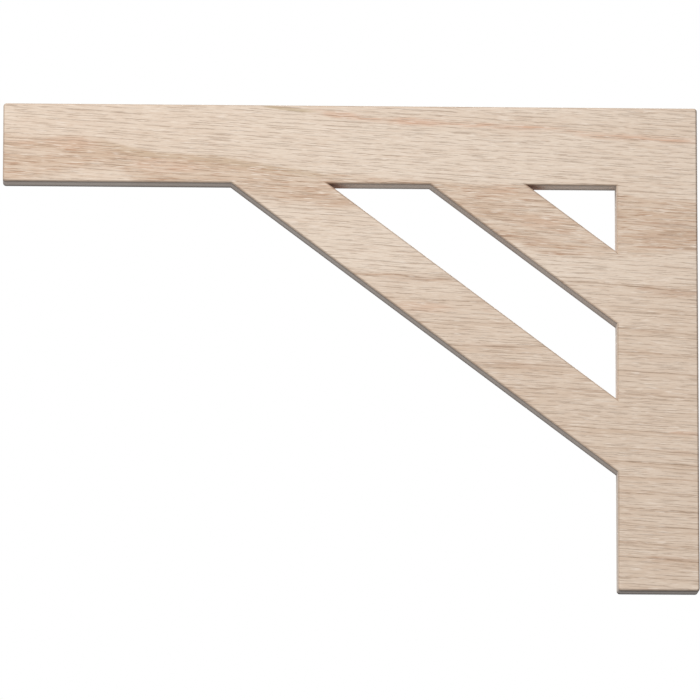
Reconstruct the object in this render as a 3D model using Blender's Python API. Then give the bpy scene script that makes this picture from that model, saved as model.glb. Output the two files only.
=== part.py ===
# Stair bracket: one flat oak board, cut through to leave a rail, a leg and two raking braces.
# Metres, +Z up. The show face looks along -Y, and the back face lies on the plane Y = 0.
# The origin is on the back face, where the middle of the rail crosses the middle of the leg.

from math import cos, hypot, pi, radians, sin, sqrt

import bpy

for leftover in list(bpy.data.objects):
    bpy.data.objects.remove(leftover)

# Driving sizes
board_length = 0.3048  # end of the rail to the leg's outer side, along X
board_height = 0.2143  # top edge to the foot of the leg, along Z
board_thickness = 0.0127  # show face to back face, along Y
rail_depth = 0.0349
leg_width = 0.0356
brace_width = 0.0256  # square across each brace
brace_pitch = 3 / 4  # drop of a brace for each unit that it runs
slot_width = 0.0268  # square across, between the two braces
leg_toe = 0.0525  # leg left free below the lower brace
arris_radius = 0.001  # easing of the long edges, alike on both faces
face_corner_radius = 0.0004  # what is left of each outer corner's rounding on the flat faces
arris_steps = 4
corner_steps = 4

# Sides of the board, seen from the front and measured from the origin
right_side = leg_width / 2
left_end = right_side - board_length
top_edge = rail_depth / 2
foot = top_edge - board_height
rail_underside = top_edge - rail_depth
leg_inner_side = right_side - leg_width

# Heights where the raking edges reach the leg's inner side
height_per_width = hypot(1, brace_pitch)
lower_brace_sole = foot + leg_toe
lower_brace_back = lower_brace_sole + brace_width * height_per_width
upper_brace_sole = lower_brace_back + slot_width * height_per_width
upper_brace_back = upper_brace_sole + brace_width * height_per_width

oak_colour = (0.69, 0.55, 0.43, 1.0)
oak_roughness = 0.6


def on_leg(height):
    """The point of the leg's inner side at this height."""
    return leg_inner_side, height


def on_rail(height_on_leg):
    """The point of the rail's underside on the raking edge that reaches the leg at this height."""
    run = (rail_underside - height_on_leg) / brace_pitch
    return leg_inner_side - run, rail_underside


def eased_corner(x, z, first_facing):
    """A square outer corner as a quarter round, from the side that faces this way, in degrees."""
    radius = arris_radius + face_corner_radius
    start = radians(first_facing)
    out = start + pi / 4
    centre_x = x - radius * sqrt(2) * cos(out)
    centre_z = z - radius * sqrt(2) * sin(out)
    arc = []
    for step in range(corner_steps + 1):
        angle = start + pi / 2 * step / corner_steps
        arc.append((centre_x + radius * cos(angle), centre_z + radius * sin(angle)))
    return arc


def board_outline():
    """The outer outline, anticlockwise from the end of the rail."""
    return [
        *eased_corner(left_end, top_edge, 90),
        *eased_corner(left_end, rail_underside, 180),
        on_rail(lower_brace_sole),
        on_leg(lower_brace_sole),
        *eased_corner(leg_inner_side, foot, 180),
        *eased_corner(right_side, foot, 270),
        *eased_corner(right_side, top_edge, 0),
    ]


def slot_outline():
    """The long slot between the two braces."""
    return [
        on_rail(lower_brace_back),
        on_leg(lower_brace_back),
        on_leg(upper_brace_sole),
        on_rail(upper_brace_sole),
    ]


def triangle_outline():
    """The small opening between the upper brace, the rail and the leg."""
    return [
        on_rail(upper_brace_back),
        on_leg(upper_brace_back),
        on_leg(rail_underside),
    ]


def add_outline(curve, points):
    spline = curve.splines.new("POLY")
    spline.points.add(len(points) - 1)
    for point, (x, z) in zip(spline.points, points):
        point.co = (x, z, 0, 1)
    spline.use_cyclic_u = True


def oak():
    material = bpy.data.materials.new("oak")
    material.use_nodes = True
    shader = material.node_tree.nodes["Principled BSDF"]
    shader.inputs["Base Color"].default_value = oak_colour
    shader.inputs["Roughness"].default_value = oak_roughness
    shader.inputs["Metallic"].default_value = 0
    return material


def bracket():
    """The board as a flat filled curve: its outline and its two openings, with eased edges."""
    curve = bpy.data.curves.new("bracket", "CURVE")
    curve.dimensions = "2D"
    curve.fill_mode = "BOTH"
    for points in (board_outline(), slot_outline(), triangle_outline()):
        add_outline(curve, points)
    curve.extrude = board_thickness / 2 - arris_radius
    curve.bevel_depth = arris_radius
    curve.bevel_resolution = arris_steps - 1
    # The easing is taken out of the board, so that its sides stay on the outlines.
    curve.offset = -arris_radius
    curve.materials.append(oak())
    board = bpy.data.objects.new("bracket", curve)
    # The curve is drawn flat and stood up, with its front towards -Y.
    board.rotation_euler.x = pi / 2
    board.location.y = -board_thickness / 2
    bpy.context.scene.collection.objects.link(board)
    return board


bracket()
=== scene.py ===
from math import cos, pi, radians, sin

import bmesh
import bpy
from mathutils import Matrix, Vector


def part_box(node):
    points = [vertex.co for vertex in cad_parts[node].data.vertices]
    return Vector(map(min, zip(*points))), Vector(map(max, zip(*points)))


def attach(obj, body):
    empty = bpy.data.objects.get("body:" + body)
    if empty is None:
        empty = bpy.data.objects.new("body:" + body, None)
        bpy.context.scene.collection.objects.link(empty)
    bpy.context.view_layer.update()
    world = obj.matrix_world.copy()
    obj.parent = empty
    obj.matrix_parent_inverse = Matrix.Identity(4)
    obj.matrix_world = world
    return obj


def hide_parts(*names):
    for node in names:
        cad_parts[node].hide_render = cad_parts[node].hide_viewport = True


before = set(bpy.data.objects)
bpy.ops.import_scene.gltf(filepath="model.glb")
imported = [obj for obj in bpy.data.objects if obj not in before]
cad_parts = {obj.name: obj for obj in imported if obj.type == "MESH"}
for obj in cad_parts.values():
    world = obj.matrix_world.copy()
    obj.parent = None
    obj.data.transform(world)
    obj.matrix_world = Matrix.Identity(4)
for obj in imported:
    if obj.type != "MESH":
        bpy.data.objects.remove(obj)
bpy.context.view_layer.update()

# Stair bracket in bare oak: a flat board, fretted to a rail, a leg and two raking braces.
# Metres. The show face looks along -Y and the back lies on Y = 0.

boardLow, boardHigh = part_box("bracket")

board = {
    "railDepth": 0.0349,
    "legWidth": 0.0356,
    "braceWidth": 0.0256,  # square across
    "slotWidth": 0.0268,  # square across, between the braces
    "pitch": 0.75,  # drop of a brace for each unit that it runs
    "legToe": 0.0525,  # leg left free below the lower brace
    "corner": 0.0014,  # rounding of the outer corners
    "cornerCuts": 6,
    "arris": 0.001,  # easing of the long edges, front and back
    "arrisCuts": 6,
    "same": 0.00001,  # points nearer than this are one
    "flat": 0.9,  # a flat face's normal has more than this of Y, and a side's has less
    "straight": 1,  # degrees: cuts that turn less than this are taken out of the blank
    "smooth": 35,  # degrees: edges that turn more than this stay sharp
}
railUnder = boardHigh.z - board["railDepth"]
legInner = boardHigh.x - board["legWidth"]
widthToHeight = (1 + board["pitch"] ** 2) ** 0.5

# heights where the raking edges meet the leg
lowerSole = boardLow.z + board["legToe"]
lowerBack = lowerSole + board["braceWidth"] * widthToHeight
upperSole = lowerBack + board["slotWidth"] * widthToHeight
upperBack = upperSole + board["braceWidth"] * widthToHeight


def heightOnLeg(point):  # where the raking line through this point meets the leg
    return point.z - board["pitch"] * (legInner - point.x)


def underRail(point):
    return point.x < legInner and point.z < railUnder


def isOpen(point):
    height = heightOnLeg(point)
    onBrace = lowerSole < height < lowerBack or upperSole < height < upperBack
    return underRail(point) and not onBrace


def pick(kind, wanted):  # selects these faces or edges of the mesh in edit mode, by their place
    bpy.ops.mesh.select_mode(type=kind)
    bpy.ops.mesh.select_all(action="DESELECT")
    mesh = bmesh.from_edit_mesh(bpy.context.edit_object.data)
    for item in mesh.faces if kind == "FACE" else mesh.edges:
        if wanted(item):
            item.select_set(True)
    bmesh.update_edit_mesh(bpy.context.edit_object.data)


def isOuterCorner(edge):  # an edge through the thickness, at one of the five outer corners
    first, second = (vert.co for vert in edge.verts)
    if abs(first.y - second.y) < board["same"]:
        return False
    corners = (
        (boardLow.x, boardHigh.z),
        (boardLow.x, railUnder),
        (boardHigh.x, boardHigh.z),
        (boardHigh.x, boardLow.z),
        (legInner, boardLow.z),
    )
    return any(abs(first.x - x) < board["same"] and abs(first.z - z) < board["same"] for x, z in corners)


def isArris(edge):  # an edge between a flat face and a side
    flats = sum(abs(face.normal.y) > board["flat"] for face in edge.link_faces)
    return flats == 1


def cutBoard():
    print("cutting the board")
    bpy.ops.object.select_all(action="DESELECT")
    centre = (boardLow + boardHigh) / 2
    bpy.ops.mesh.primitive_plane_add(
        size=1, location=(centre.x, boardLow.y, centre.z), rotation=(pi / 2, 0, 0)
    )
    piece = bpy.context.object
    piece.name = piece.data.name = "oakBoard"
    piece.scale = (boardHigh.x - boardLow.x, boardHigh.z - boardLow.z, 1)
    bpy.ops.object.transform_apply(location=True, rotation=True, scale=True)
    bpy.ops.object.mode_set(mode="EDIT")
    for place, across in (((0, 0, railUnder), (0, 0, 1)), ((legInner, 0, 0), (1, 0, 0))):
        bpy.ops.mesh.select_all(action="SELECT")
        bpy.ops.mesh.bisect(plane_co=place, plane_no=across)
    for height in (lowerSole, lowerBack, upperSole, upperBack):
        pick("FACE", lambda face: underRail(face.calc_center_median()))
        bpy.ops.mesh.bisect(plane_co=(legInner, 0, height), plane_no=(board["pitch"], 0, 1))
    pick("FACE", lambda face: isOpen(face.calc_center_median()))
    bpy.ops.mesh.delete(type="FACE")
    bpy.ops.mesh.select_all(action="SELECT")
    bpy.ops.mesh.dissolve_limited(angle_limit=radians(board["straight"]))
    bpy.ops.mesh.select_all(action="SELECT")
    bpy.ops.mesh.extrude_region_move(
        TRANSFORM_OT_translate={"value": (0, boardHigh.y - boardLow.y, 0)}
    )
    bpy.ops.mesh.select_all(action="SELECT")
    bpy.ops.mesh.normals_make_consistent(inside=False)
    pick("EDGE", isOuterCorner)
    bpy.ops.mesh.bevel(
        offset=board["corner"], segments=board["cornerCuts"], affect="EDGES", clamp_overlap=False
    )
    pick("EDGE", isArris)
    bpy.ops.mesh.bevel(
        offset=board["arris"], segments=board["arrisCuts"], affect="EDGES", clamp_overlap=False
    )
    bpy.ops.mesh.select_all(action="SELECT")
    bpy.ops.mesh.remove_doubles(threshold=board["same"])
    bpy.ops.object.mode_set(mode="OBJECT")
    bpy.ops.object.shade_smooth_by_angle(angle=radians(board["smooth"]))
    bpy.ops.object.modifier_add(type="WEIGHTED_NORMAL")
    piece.modifiers[-1].keep_sharp = True
    bpy.ops.object.modifier_apply(modifier=piece.modifiers[-1].name)
    # which way each face looks, for the wood and its painted shade: side is 1 on the cut edges of the
    # board, and underside is 1 where a face looks straight down and 0.8 under a brace
    side = piece.data.attributes.new("side", "FLOAT", "FACE")
    underside = piece.data.attributes.new("underside", "FLOAT", "FACE")
    for face in piece.data.polygons:
        side.data[face.index].value = 1 - abs(face.normal.y)
        underside.data[face.index].value = max(0, -face.normal.z)
    return piece


class Term:  # a shader value, so that Python arithmetic on it adds the Math nodes
    def __init__(self, finish, socket):
        self.finish, self.socket = finish, socket

    def __add__(self, other):
        return self.finish.maths("ADD", self, other)

    def __radd__(self, other):
        return self.finish.maths("ADD", other, self)

    def __sub__(self, other):
        return self.finish.maths("SUBTRACT", self, other)

    def __rsub__(self, other):
        return self.finish.maths("SUBTRACT", other, self)

    def __mul__(self, other):
        return self.finish.maths("MULTIPLY", self, other)

    def __rmul__(self, other):
        return self.finish.maths("MULTIPLY", other, self)

    def __truediv__(self, other):
        return self.finish.maths("DIVIDE", self, other)

    def __pow__(self, other):
        return self.finish.maths("POWER", self, other)


class Finish:  # a material, and the few ways in which nodes are added to it
    def __init__(self, name):
        self.material = bpy.data.materials.new(name)
        self.material.use_nodes = True
        self.nodes = self.material.node_tree.nodes
        self.nodes.clear()

    def node(self, kind, settings, sockets, result=0):
        made = self.nodes.new(kind)
        for name, setting in settings.items():
            if name == "line":  # a curve's points, its two ends first
                points = made.mapping.curves[0].points
                points[0].location, points[1].location = setting[0], setting[-1]
                for place in setting[1:-1]:
                    points.new(*place)
                made.mapping.update()
            else:
                setattr(made, name, setting)
        for name, given in sockets.items():
            if isinstance(given, Term):
                self.material.node_tree.links.new(given.socket, made.inputs[name])
            else:
                made.inputs[name].default_value = given
        return Term(self, made.outputs[result]) if made.outputs else made

    def maths(self, operation, *terms):
        return self.node("ShaderNodeMath", {"operation": operation}, dict(enumerate(terms)))

    def rise(self, value, start, end):  # 0 before start, 1 after end, smooth between them
        sockets = {"Value": value, "From Min": start, "From Max": end}
        return self.node("ShaderNodeMapRange", {"interpolation_type": "SMOOTHSTEP"}, sockets)

    def point(self, place, size):  # the place, with each of its three parts measured in its own size
        x, y, z = (part / length for part, length in zip(place, size))
        return self.node("ShaderNodeCombineXYZ", {}, {"X": x, "Y": y, "Z": z})

    def noise(self, place, size, detail=2.0):  # about 0, from -0.5 to 0.5
        sockets = {"Vector": self.point(place, size), "Scale": 1.0, "Detail": detail}
        return self.node("ShaderNodeTexNoise", {}, sockets) - 0.5

    def mix(self, amount, first, second, blend="MIX"):
        settings = {"data_type": "RGBA", "blend_type": blend}
        return self.node("ShaderNodeMix", settings, {0: amount, 6: first, 7: second}, 2)


def colour(red, green, blue):  # a colour as the eye reads it, from 0 to 255, made linear
    parts = []
    for part in (red, green, blue):
        share = part / 255
        parts.append(share / 12.92 if share < 0.04045 else ((share + 0.055) / 1.055) ** 2.4)
    return (*parts, 1.0)


perMetre = 1000.0  # the wood is drawn in millimetres, from the frame's own origin

oak = {
    "pale": colour(244, 230, 215),
    "cream": colour(227, 209, 190),
    "tan": colour(205, 178, 153),
    "rose": colour(211, 172, 145),
    "olive": colour(184, 163, 130),
    "brown": colour(177, 137, 108),
    "umber": colour(160, 132, 108),
    "pore": colour(150, 122, 98),
    "greyed": colour(213, 202, 192),  # cut edges look a little greyer than the face
    # darker brown for the tight corners of the two openings
    "cornerBrown": colour(152, 104, 70),
    "arrisTint": (0.66, 0.58, 0.50, 1.0),  # multiplies the colour of the eased front edge
    "shadeTint": (0.12, 0.11, 0.12, 1.0),  # multiplies the colour where the painted shade is full
    "roughness": 0.6,
    "bump": 0.5,
    "bumpDepth": 0.0002,  # metres
    "fall": 0.055,  # drop of the grain towards the leg
    "runOut": 0.018,  # how fast the grain leaves the face
    "lean": 0.5,  # rings drop this much for each unit of depth behind the show face
    # open grain: gap between its rows, length of a dash, and where the rows start
    "rows": ((1.75, 9.0, 0.0), (2.35, 13.0, 4.3)),
    "dashDepth": 6,  # how far a dash goes into the board
    # line of the rose streak, x and z
    "streak": (
        (-172, 16.9), (-160, 15.4), (-150, 14.6), (-136, 12.8), (-116, 10.2), (-95, 9.9), (-76, 9.0),
        (-56, 8.0), (-43, 7.5), (-32, 5.3), (-10, 4.0), (18, 2.7),
    ),
    # upper and lower edge of the darker wood, x and z
    "bandTop": (
        (-288, 4.2), (-268, 3.0), (-251, 3.4), (-239, 0.1), (-225, -3.2), (-210, -4.8), (-195, -5.3),
        (-176, -8.7), (-161, -10.7), (-147, -12.1), (-120, -14.5), (-95, -16.4), (-69, -16.8),
        (-40, -17.5), (-18, -20.5), (-3, -22.9), (18, -23.8),
    ),
    "bandFoot": (
        (-288, -20), (-268, -15.5), (-255, -12.5), (-240, -11.5), (-228, -19), (-187, -24), (-160, -27),
        (-134, -28.5), (-90, -34), (-60, -46), (-40, -49.5), (-17, -49.5), (0, -48), (18, -47),
    ),
    # height near the middle of the leg and strength of each growth ring
    "rings": (
        (-62.8, 0.9), (-72.4, 0.35), (-82.3, 0.5), (-92.2, 0.6), (-100.4, 0.55), (-110.7, 0.55),
        (-121.3, 0.35), (-127.0, 0.75), (-135.1, 0.65), (-140.6, 0.95), (-147.3, 0.6), (-153.6, 0.5),
        (-160.9, 0.8), (-168.2, 0.7), (-176.3, 0.8), (-182.8, 1.0), (-191.4, 0.5),
    ),
    # how far the rings stand above that height, x and rise
    "ringRise": (
        (-160, 6.5), (-132, 5.6), (-91, 3.3), (-48, 2.8), (-38, 2.5), (-18, 1.1), (-2, 0), (18, -1.4),
    ),
    # dabs of colour: x, z, half length, half height, strength
    "roseDabs": (
        (-258, -0.2, 12, 3.0, 0.7), (-280, 0, 7, 1.3, 0.6), (-215, -10, 16, 3.5, 0.5),
        (-102, -72, 13, 2.4, 0.6), (-68, -20, 7, 2.5, 0.5), (-50, -34, 12, 3.5, 0.4),
        (12.4, -127.4, 8, 1.0, 0.8), (-140, -19, 9, 1.5, 0.5), (-139, 13.3, 8, 1.7, 0.8),
        (-106, 10.4, 13, 2.0, 0.85),
    ),
    "brownDabs": (
        (4.5, -40.6, 15, 2.6, 0.55), (5, -34.5, 15, 1.5, 0.5), (6, -45.4, 14, 1.0, 0.55),
        (-52, -42.6, 9, 2.0, 0.45), (-43, -47.7, 11, 0.9, 0.6), (-62, -27.3, 9, 0.9, 0.4),
        (-5, -63.2, 5, 1.0, 0.8), (8, -65, 12, 2.3, 0.6), (-151, -23.4, 13, 0.9, 0.5),
        (-139, -26.4, 5, 1.6, 0.5), (11.5, -136.1, 7, 1.2, 0.6), (5.4, -182.7, 13, 1.2, 0.7),
        (-49, 2.5, 2.2, 0.7, 0.5), (-108, -59.3, 16, 1.8, 0.35), (-69, -89.5, 14, 0.9, 0.35),
        (-64, -97.4, 18, 1.6, 0.35),
    ),
    # painted shade through the thickness on sides that face down, y and share
    "underShade": (
        (-12.7, 0.0), (-12.2, 0.1), (-11.5, 0.42), (-10.6, 0.26), (-9, 0.06), (-6.5, 0.04), (-5, 0.12),
        (-3, 0.4), (-1.6, 0.62), (-0.9, 0.6), (0, 0.15),
    ),
    "rim": 1.2,  # width of the strip of painted shade at the foot and at the two ends
    # size of one patch of each kind: along the board, through it, and up it or across the grain
    "size": {
        "wander": (60, 60, 30),
        "waver": (12, 20, 5),
        "runOut": (45, 40, 18),
        "streaky": (30, 1.4, 0.95),
        "cloudy": (40, 16, 5),
        "ragged": (16, 14, 1.4),
        "rings": (22, 12, 6),
        "ringGaps": (15, 15, 1 / 3),  # the third of these is counted in rings
        "ringChips": (3, 3, 0.7),
        "streak": (8, 9, 2),
        "streakTears": (9, 9, 0.6),
        "jitter": (2.4, 2, 0.9),
        "rows": (7, 9, 2),
        "fleck": (5, 1, 0.7),
        "thread": (10, 0.65, 0.42),
        "paintedGlint": (6.5, 0.65, 0.4),
        "pore": (30, 0.62, 0.62),
        "speck": (2.2, 0.5, 0.5),
    },
    # how far these patches push the lines of the grain
    "push": {
        "wander": 1.4,
        "waver": 0.35,
        "runOut": 1.0,
        "ragged": 1.5,
        "rings": 1.8,
        "streak": 0.8,
        "jitter": 0.4,
        "rows": 0.35,
    },
    # how far each of these takes the pale wood towards tan
    "dull": {
        "band": 0.76,
        "ringGlow": 0.42,
        "streakGlow": 0.22,
        "clouds": 0.28,
        "ringedWood": 0.28,
        "legHead": 0.12,
        "leftEnd": 0.2,
    },
    # strength of each mark, and of the painted shade at the foot and at the two ends
    "mark": {
        "oliveEdge": 0.5,
        "thread": 0.2,
        "threadInBand": 0.72,
        "trail": 0.75,
        "streak": 0.62,
        "ringLine": 0.85,
        "speck": 0.28,
        "dash": 0.48,
        "fleck": 0.06,
        "fleckOnSide": 0.26,
        "pore": 0.26,
        "paintedGlint": 0.44,
        "paintedGlintInBand": 0.14,
        "greyed": 0.6,
        "arris": 0.55,
        # foot and ends: painted shade along the foot and the two ends
        "foot": 0.35,
        "ends": 0.22,
        "cornerBrown": 0.85,
    },
}


def drawnLine(wood, value, places):  # a drawn line: its height at this value
    places = sorted(places)
    heights = [height for _, height in places]
    low, high = min(heights), max(heights)
    first, last = places[0][0], places[-1][0]
    points = [((at - first) / (last - first), (height - low) / (high - low)) for at, height in places]
    along = (value - first) / (last - first)
    share = wood.node("ShaderNodeFloatCurve", {"line": points}, {"Value": along})
    return share * (high - low) + low


def dabs(wood, x, z, places):  # soft patches along the grain, 0 to 1
    total = 0.0
    for middleX, middleZ, halfLength, halfHeight, strength in places:
        drop = (z - middleZ) + oak["fall"] * (x - middleX)
        away = ((x - middleX) / halfLength) ** 2 + (drop / halfHeight) ** 2
        total = wood.maths("MAXIMUM", total, (1 - wood.rise(away, 0.1, 1.5)) * strength)
    return total


def oakFinish():
    print("making the oak")
    size, push, mark = oak["size"], oak["push"], oak["mark"]
    wood = Finish("oak")
    place = wood.node("ShaderNodeTexCoord", {}, {}, 3)
    scaled = wood.node("ShaderNodeVectorMath", {"operation": "SCALE"}, {0: place, "Scale": perMetre})
    x, y, z = (wood.node("ShaderNodeSeparateXYZ", {}, {0: scaled}, axis) for axis in range(3))
    side = wood.node("ShaderNodeAttribute", {"attribute_name": "side"}, {}, 2)
    underside = wood.node("ShaderNodeAttribute", {"attribute_name": "underside"}, {}, 2)
    fromFront = y - boardLow.y * perMetre
    ringHeight = z + oak["lean"] * fromFront
    inBoard = (x, y, z)

    # the grain runs along X, falls a little and wanders
    # where two noises would look alike, one of them starts further along x
    wander = push["wander"] * wood.noise(inBoard, size["wander"])
    waver = push["waver"] * wood.noise(inBoard, size["waver"])
    across = z + oak["fall"] * x + wander + waver
    depth = y + oak["runOut"] * x + push["runOut"] * wood.noise((x + 315, y, z), size["runOut"])
    inGrain = (x, depth, across)
    streaky = wood.noise(inGrain, size["streaky"], 3.0)
    cloudy = wood.noise((x + 120, y, across), size["cloudy"])

    # the band of darker wood, crisp above and soft below, with an olive line along part of its top
    ragged = push["ragged"] * wood.noise((x, y, across), size["ragged"], 3.0)
    belowTop = drawnLine(wood, x, oak["bandTop"]) - ringHeight + ragged
    aboveFoot = ringHeight - drawnLine(wood, x, oak["bandFoot"]) + 1.6 * ragged
    band = wood.rise(belowTop, -0.8, 1.6) * wood.rise(aboveFoot, -1.5, 3.5)
    band = band * wood.rise(1.1 * streaky + 0.8 * cloudy, -0.55, 0.25)
    oliveEdge = wood.rise(2.8 - wood.maths("ABSOLUTE", belowTop - 1.6), 0, 2.6)
    oliveEdge = oliveEdge * wood.rise(x, -248, -236) * (1 - wood.rise(x, -152, -138))

    # growth rings, from the braces down the leg
    ringPlace = ringHeight - drawnLine(wood, x, oak["ringRise"])
    ringPlace = ringPlace + push["rings"] * wood.noise(inBoard, size["rings"]) + 0.9 * streaky
    numbered = [(height, float(number)) for number, (height, _) in enumerate(oak["rings"])]
    count = drawnLine(wood, ringPlace, numbered)
    ring = wood.maths("FRACT", count)
    lineNear = wood.maths("MINIMUM", ring, 1 - ring)
    ringed = (1 - wood.rise(ringPlace, -61, -58)) * drawnLine(wood, ringPlace, oak["rings"])
    gaps = wood.rise(wood.noise((x + 135, y, count), size["ringGaps"]), -0.35, 0.05)
    chips = 0.75 + 0.4 * wood.rise(wood.noise((x, y, ringPlace), size["ringChips"]), -0.1, 0.1)
    ringLine = (1 - wood.rise(lineNear, 0.0, 0.06)) * ringed * gaps * chips
    ringGlow = ((1 - wood.rise(ring, 0.0, 0.5)) + 0.6 * wood.rise(ring, 0.7, 1.0)) * ringed

    # the rose streak along the top of the rail, and the olive line that leads into it
    aboveStreak = ringHeight - drawnLine(wood, x, oak["streak"])
    aboveStreak = aboveStreak + push["streak"] * wood.noise(inBoard, size["streak"])
    offStreak = wood.maths("ABSOLUTE", aboveStreak)
    streakOn = wood.rise(x, -158, -144)
    trailOn = wood.rise(x, -176, -169) * (1 - wood.rise(x, -156, -146))
    trail = (1 - wood.rise(offStreak, 0.15, 1.1)) * trailOn
    tears = wood.rise(wood.noise((x, y, ringHeight), size["streakTears"], 3.0), -0.14, 0.12)
    streakLine = (1 - wood.rise(offStreak, 0.2, 2.0)) * streakOn * (0.3 + 0.9 * tears)
    streakGlow = wood.rise(aboveStreak, -0.6, 0.8) * (1 - wood.rise(aboveStreak, 2.5, 9.0)) * streakOn

    # open grain: thin dark dashes in close rows, on the flat faces alone
    onFlat = 1 - side
    jitter = push["jitter"] * wood.noise(inBoard, size["jitter"])
    dash = 0.0
    for rowGap, length, start in oak["rows"]:
        moved = (x + start * size["rows"][0], y, across)
        row = (across + jitter + push["rows"] * wood.noise(moved, size["rows"])) / rowGap + start
        offRow = wood.maths("ABSOLUTE", wood.maths("FRACT", row) - 0.5)
        inRow = (x, y, 7.3 * wood.maths("FLOOR", row))
        drawn = wood.rise(wood.noise(inRow, (length, oak["dashDepth"], 1), 3.0), -0.06, 0.1)
        dash = wood.maths("MAXIMUM", dash, (1 - wood.rise(offRow, 0.02, 0.11)) * drawn)
    dash = dash * onFlat

    # looser flecks and threads that follow the grain, painted highlights that follow it too, and a few
    # sharp pores
    fleck = wood.rise(wood.noise(inGrain, size["fleck"], 1.5), 0.04, 0.17)
    thread = wood.rise(wood.noise(inGrain, size["thread"], 2.5), 0.03, 0.16)
    paintedGlint = wood.rise(wood.noise((x + 32.5, depth, across), size["paintedGlint"]), 0.05, 0.2)
    sockets = {"Vector": wood.point(inGrain, size["pore"]), "Scale": 1.0, "Randomness": 0.95}
    pore = wood.rise(wood.node("ShaderNodeTexVoronoi", {"feature": "F1"}, sockets), 0.34, 0.14)

    # the pale wood, dulled by the band, the rings and the rest
    ringedWood = 1 - wood.rise(ringPlace, -75, -60)
    dulled = {
        "band": band,
        "ringGlow": ringGlow,
        "streakGlow": streakGlow,
        "clouds": wood.rise(cloudy + 0.4 * streaky, -0.05, 0.3),
        "ringedWood": ringedWood,
        "legHead": (1 - ringedWood) * wood.rise(x, -40, -5),
        "leftEnd": 1 - wood.rise(x, -240, -130),
    }
    dull = sum(oak["dull"][name] * amount for name, amount in dulled.items())
    base = wood.mix(wood.maths("MINIMUM", dull, 1.0), oak["cream"], oak["tan"])

    # the marks on it, from broad to fine
    speckled = 0.5 + 1.1 * streaky + 0.5 * thread
    roseDabs = dabs(wood, x, ringHeight + 0.8 * ragged, oak["roseDabs"])
    brownDabs = dabs(wood, x, ringHeight + 0.6 * ragged, oak["brownDabs"])
    ringColour = wood.mix(wood.rise(cloudy, 0.0, 0.2), oak["umber"], oak["brown"])
    speck = wood.rise(wood.noise(inBoard, size["speck"]), -0.1, 0.3)
    base = wood.mix(mark["oliveEdge"] * oliveEdge * speckled, base, oak["olive"])
    base = wood.mix(thread * (mark["thread"] + mark["threadInBand"] * band), base, oak["brown"])
    base = wood.mix(trail * (mark["trail"] + 1.2 * streaky), base, oak["olive"])
    base = wood.mix(streakLine * (mark["streak"] + 2.4 * streaky + cloudy), base, oak["rose"])
    base = wood.mix(roseDabs * speckled, base, oak["rose"])
    base = wood.mix(brownDabs * speckled, base, oak["brown"])
    base = wood.mix(mark["ringLine"] * ringLine, base, ringColour)
    base = wood.mix(mark["speck"] * speck, base, oak["tan"])
    base = wood.mix(dash * (mark["dash"] + 0.7 * streaky), base, oak["pore"])
    base = wood.mix(fleck * (mark["fleck"] + mark["fleckOnSide"] * side), base, oak["pore"])
    base = wood.mix(mark["pore"] * pore, base, oak["pore"])
    # painted highlights: pale glints on the flat faces, stronger in the band
    base = wood.mix(paintedGlint * (mark["paintedGlint"] + mark["paintedGlintInBand"] * band) * onFlat, base, oak["pale"])

    # cut edges and the eased front edge
    base = wood.mix(mark["greyed"] * side, base, oak["greyed"])
    arris = wood.rise(fromFront, 0.0, 0.12) * (1 - wood.rise(fromFront, 0.9, 1.5))
    base = wood.mix(mark["arris"] * arris, base, oak["arrisTint"], "MULTIPLY")

    # the tight corners of the two openings, under the rail, made a darker brown and given less of the
    # painted shade
    under, inner, back = railUnder * perMetre, legInner * perMetre, lowerBack * perMetre
    tight = 0.0
    for height in (lowerBack, upperBack):
        cornerX = inner - (under - height * perMetre) / board["pitch"]
        away = ((x - cornerX - 0.4 * fromFront) ** 2 + (z - under) ** 2) ** 0.5
        tight = tight + (1 - wood.rise(away, 1.0, 7.0)) * side

    # painted shade on sides that face down, lighter in the openings, and at the foot and the two ends
    inOpenings = wood.rise(z - board["pitch"] * (inner - x), back - 4, back)
    level = wood.rise(underside, 0.82, 0.95)
    facingDown = wood.maths("MINIMUM", 1.3 * underside, 1.0) * (1 + 0.32 * level)
    shade = facingDown * drawnLine(wood, y, oak["underShade"])
    shade = shade * (1 - 0.25 * inOpenings) * (1 - 0.7 * tight)
    low, left, right = boardLow.z * perMetre, boardLow.x * perMetre, boardHigh.x * perMetre
    atFoot = 1 - wood.rise(z, low, low + oak["rim"])
    atEnds = (1 - wood.rise(x, left, left + oak["rim"])) + wood.rise(x, right - oak["rim"], right)
    shade = shade + mark["foot"] * atFoot + mark["ends"] * atEnds
    base = wood.mix(wood.maths("MINIMUM", shade, 1.0), base, oak["shadeTint"], "MULTIPLY")
    base = wood.mix(mark["cornerBrown"] * tight, base, oak["cornerBrown"])

    relief = 1 - wood.maths("MAXIMUM", pore, dash) - 0.3 * fleck
    sockets = {"Strength": oak["bump"], "Distance": oak["bumpDepth"], "Height": relief}
    bump = wood.node("ShaderNodeBump", {}, sockets)
    looks = {"Base Color": base, "Roughness": oak["roughness"], "Normal": bump}
    shader = wood.node("ShaderNodeBsdfPrincipled", {}, looks)
    wood.node("ShaderNodeOutputMaterial", {}, {"Surface": shader})
    return wood.material


studio = {
    "backdropRadius": 9,
    "floorWidth": 16,
    "floorHeight": -6.5,
    "sky": (0.97, 0.985, 1.02, 1),
    "skyStrength": 0.43,
    "hiddenFrom": ("diffuse", "glossy", "transmission", "shadow", "volume_scatter"),
    # each softbox: its direction from the board, distance, width and watts
    "key": ((-0.50, -0.66, 0.56), 2.6, 1.2, 65),
    "fill": ((0.3, 0.9, 0.4), 2.2, 1.4, 38),
}


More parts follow.
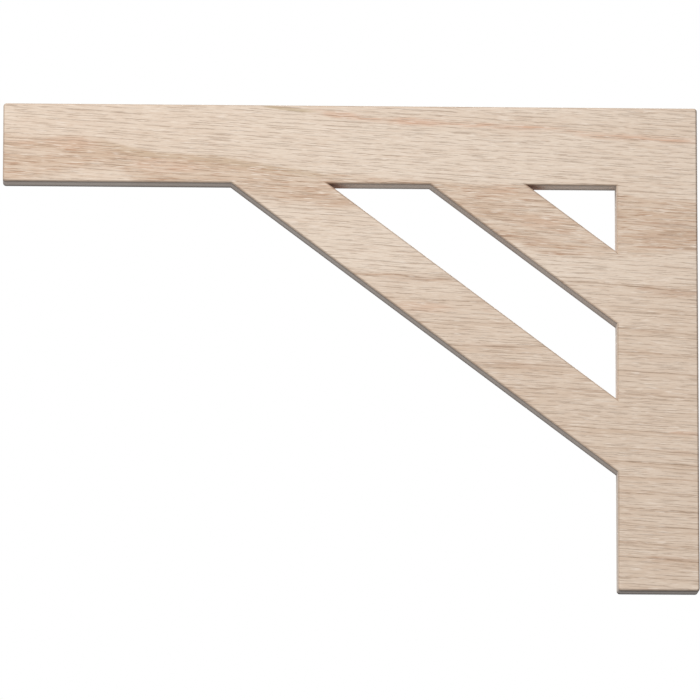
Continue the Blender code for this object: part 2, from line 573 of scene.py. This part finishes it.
def stage():
    print("setting the stage")
    scene = bpy.context.scene
    scene.view_settings.view_transform = "Standard"
    world = bpy.data.worlds.new("studio") if scene.world is None else scene.world
    scene.world = world
    world.use_nodes = True
    world.node_tree.nodes["Background"].inputs["Color"].default_value = studio["sky"]
    world.node_tree.nodes["Background"].inputs["Strength"].default_value = studio["skyStrength"]

    white = Finish("white")
    glow = white.node("ShaderNodeEmission", {}, {"Color": (1, 1, 1, 1), "Strength": 1.0})
    white.node("ShaderNodeOutputMaterial", {}, {"Surface": glow})
    bpy.ops.object.select_all(action="DESELECT")
    bpy.ops.mesh.primitive_uv_sphere_add(radius=studio["backdropRadius"], location=(0, 0, 0))
    backdrop = bpy.context.object
    backdrop.name = "backdrop"
    bpy.ops.mesh.primitive_plane_add(size=studio["floorWidth"], location=(0, 0, studio["floorHeight"]))
    floor = bpy.context.object
    floor.name = "floor"
    for sheet in (backdrop, floor):  # only the camera sees them, so they throw no light on the wood
        sheet.data.materials.append(white.material)
        for ray in studio["hiddenFrom"]:
            setattr(sheet, "visible_" + ray, False)


def softbox(name, towards, distance, width, watts):
    print("hanging the", name, "light")
    direction = Vector(towards).normalized()
    centre = (boardLow + boardHigh) / 2
    bpy.ops.object.light_add(type="AREA", location=centre + direction * distance)
    lamp = bpy.context.object
    lamp.name = name
    lamp.data.size = width
    lamp.data.energy = watts
    lamp.rotation_euler = direction.to_track_quat("Z", "Y").to_euler()


shot = {
    "aim": Vector((-0.1348, boardLow.y, -0.0914)),  # the point of the show face at the picture's middle
    "azimuth": -2,
    "elevation": -9.5,
    "roll": 0.06,
    "distance": 3.4,
    "lens": 400.2,
    "sensor": 36.0,
    "nearest": 0.05,
    "farthest": 30,
}


def camera():
    print("placing the camera")
    azimuth, elevation, roll = (radians(shot[name]) for name in ("azimuth", "elevation", "roll"))
    back = Vector((sin(azimuth) * cos(elevation), -cos(azimuth) * cos(elevation), sin(elevation)))
    level = Vector((cos(azimuth), sin(azimuth), 0))
    upright = back.cross(level)
    right = cos(roll) * level + sin(roll) * upright
    up = cos(roll) * upright - sin(roll) * level
    turn = Matrix((right, up, back)).transposed().to_euler()
    bpy.ops.object.camera_add(location=shot["aim"] + shot["distance"] * back, rotation=turn)
    taking = bpy.context.object
    taking.data.lens = shot["lens"]
    taking.data.sensor_width = shot["sensor"]
    taking.data.clip_start = shot["nearest"]
    taking.data.clip_end = shot["farthest"]
    bpy.context.scene.camera = taking


piece = cutBoard()
piece.data.materials.append(oakFinish())
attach(piece, "root")
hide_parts("bracket")
stage()
softbox("key", *studio["key"])
softbox("fill", *studio["fill"])
camera()
